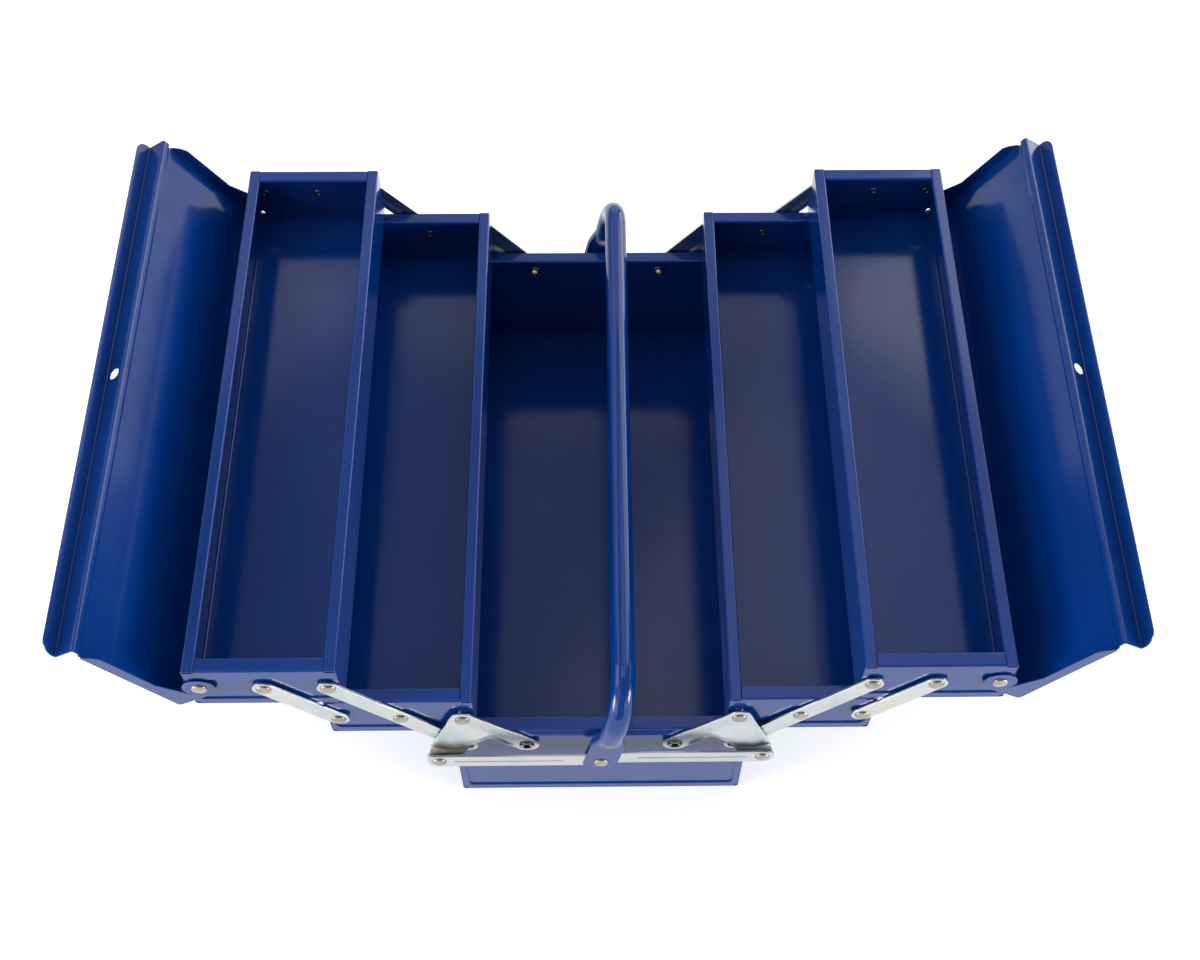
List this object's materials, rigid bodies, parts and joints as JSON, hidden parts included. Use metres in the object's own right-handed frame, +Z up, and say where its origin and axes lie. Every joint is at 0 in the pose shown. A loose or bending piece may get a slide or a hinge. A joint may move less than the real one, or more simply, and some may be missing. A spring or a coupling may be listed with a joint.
{
  "type": "tool box",
  "caption": "Cantilever tool box of folded sheet steel, with a base bin, trays that swing out on riveted arms, hinged split lids and a tubular handle that folds it shut.",
  "frame": {"origin": "centre of the base bin's underside", "axes": "+X across the box to its right, +Y along it away from the front end, +Z up"},
  "size_m": [0.6722, 0.4522, 0.2318],
  "materials": {
    "paint": "glossy blue powder coat",
    "links": "bright zinc plate",
    "rivets": "nickel plate"
  },
  "bodies": {
    "base": {"base_bin": "paint", "base_front_end": "paint", "base_back_end": "paint", "base_rivets": "rivets", "base_eyelets": "rivets"},
    "left_lower_tray": {"left_lower_tray": "paint", "left_lower_front_end": "paint", "left_lower_back_end": "paint", "left_lower_rivets": "rivets"},
    "left_upper_tray": {"left_upper_tray": "paint", "left_upper_front_end": "paint", "left_upper_back_end": "paint", "left_upper_rivets": "rivets"},
    "left_lid": {"left_lid": "paint"},
    "left_long_arms": {"left_front_long_arm": "links", "left_back_long_arm": "links"},
    "left_short_arms": {"left_front_short_arm": "links", "left_back_short_arm": "links"},
    "left_corner_plates": {"left_front_corner_plate": "links", "left_back_corner_plate": "links", "left_plate_rivets": "rivets"},
    "left_handle_bars": {"left_front_handle_bar": "links", "left_back_handle_bar": "links"},
    "right_lower_tray": {"right_lower_tray": "paint", "right_lower_front_end": "paint", "right_lower_back_end": "paint", "right_lower_rivets": "rivets"},
    "right_upper_tray": {"right_upper_tray": "paint", "right_upper_front_end": "paint", "right_upper_back_end": "paint", "right_upper_rivets": "rivets"},
    "right_lid": {"right_lid": "paint"},
    "right_long_arms": {"right_front_long_arm": "links", "right_back_long_arm": "links"},
    "right_short_arms": {"right_front_short_arm": "links", "right_back_short_arm": "links"},
    "right_corner_plates": {"right_front_corner_plate": "links", "right_back_corner_plate": "links", "right_plate_rivets": "rivets"},
    "right_handle_bars": {"right_front_handle_bar": "links", "right_back_handle_bar": "links"},
    "handle_rivets": {"handle_rivets": "rivets"},
    "handle": {"handle": "paint"}
  },
  "joints": [
    {"name": "left_fold", "type": "hinge", "parent": "base", "child": "left_long_arms", "pos_m": [-0.091, 0, 0.0837], "axis": [0, 1, 0], "range_deg": [0, 81.74]},
    {"name": "left_lower_level", "type": "hinge", "parent": "left_long_arms", "child": "left_lower_tray", "pos_m": [-0.1315, 0, 0.1305], "axis": [0, 1, 0], "range_deg": [-81.75, 0]},
    {"name": "left_short_swing", "type": "hinge", "parent": "left_lower_tray", "child": "left_short_arms", "pos_m": [-0.172, 0, 0.1305], "axis": [0, 1, 0], "range_deg": [0, 81.75]},
    {"name": "left_upper_level", "type": "hinge", "parent": "left_long_arms", "child": "left_upper_tray", "pos_m": [-0.172, 0, 0.1773], "axis": [0, 1, 0], "range_deg": [-81.75, 0]},
    {"name": "left_lid_swing", "type": "hinge", "parent": "left_upper_tray", "child": "left_lid", "pos_m": [-0.253, 0, 0.1773], "axis": [0, 1, 0], "range_deg": [0, 123]},
    {"name": "left_plate_swing", "type": "hinge", "parent": "base", "child": "left_corner_plates", "pos_m": [-0.0505, 0, 0.0837], "axis": [0, 1, 0], "range_deg": [0, 81.75]},
    {"name": "left_bar_swing", "type": "hinge", "parent": "left_corner_plates", "child": "left_handle_bars", "pos_m": [-0.1102, 0, 0.0792], "axis": [0, 1, 0], "range_deg": [-136.03, 0]},
    {"name": "right_fold", "type": "hinge", "parent": "base", "child": "right_long_arms", "pos_m": [0.091, 0, 0.0837], "axis": [0, -1, 0], "range_deg": [0, 81.75]},
    {"name": "right_lower_level", "type": "hinge", "parent": "right_long_arms", "child": "right_lower_tray", "pos_m": [0.1315, 0, 0.1305], "axis": [0, -1, 0], "range_deg": [-81.75, 0]},
    {"name": "right_short_swing", "type": "hinge", "parent": "right_lower_tray", "child": "right_short_arms", "pos_m": [0.172, 0, 0.1305], "axis": [0, -1, 0], "range_deg": [0, 81.75]},
    {"name": "right_upper_level", "type": "hinge", "parent": "right_long_arms", "child": "right_upper_tray", "pos_m": [0.172, 0, 0.1773], "axis": [0, -1, 0], "range_deg": [-81.75, 0]},
    {"name": "right_lid_swing", "type": "hinge", "parent": "right_upper_tray", "child": "right_lid", "pos_m": [0.253, 0, 0.1773], "axis": [0, -1, 0], "range_deg": [0, 123]},
    {"name": "right_plate_swing", "type": "hinge", "parent": "base", "child": "right_corner_plates", "pos_m": [0.0505, 0, 0.0837], "axis": [0, -1, 0], "range_deg": [0, 81.75]},
    {"name": "right_bar_swing", "type": "hinge", "parent": "right_corner_plates", "child": "right_handle_bars", "pos_m": [0.1102, 0, 0.0792], "axis": [0, -1, 0], "range_deg": [-136.03, 0]},
    {"name": "handle_level", "type": "hinge", "parent": "left_handle_bars", "child": "handle_rivets", "pos_m": [0, 0, 0.0792], "axis": [0, 1, 0], "range_deg": [0, 54.29]},
    {"name": "handle_swing", "type": "hinge", "parent": "handle_rivets", "child": "handle", "pos_m": [0, 0, 0.0792], "axis": [0, 1, 0], "range_deg": [-48, 28]}
  ],
  "couplings": [
    {"joint": "left_lower_level", "follows": "left_fold", "ratio": -1},
    {"joint": "left_short_swing", "follows": "left_fold", "ratio": 1},
    {"joint": "left_upper_level", "follows": "left_fold", "ratio": -1},
    {"joint": "left_plate_swing", "follows": "left_fold", "ratio": 1},
    {"joint": "left_bar_swing", "follows": "left_fold", "ratio": -1.664},
    {"joint": "right_fold", "follows": "left_fold", "ratio": 1},
    {"joint": "right_lower_level", "follows": "left_fold", "ratio": -1},
    {"joint": "right_short_swing", "follows": "left_fold", "ratio": 1},
    {"joint": "right_upper_level", "follows": "left_fold", "ratio": -1},
    {"joint": "right_plate_swing", "follows": "left_fold", "ratio": 1},
    {"joint": "right_bar_swing", "follows": "left_fold", "ratio": -1.664},
    {"joint": "handle_level", "follows": "left_fold", "ratio": 0.664}
  ]
}
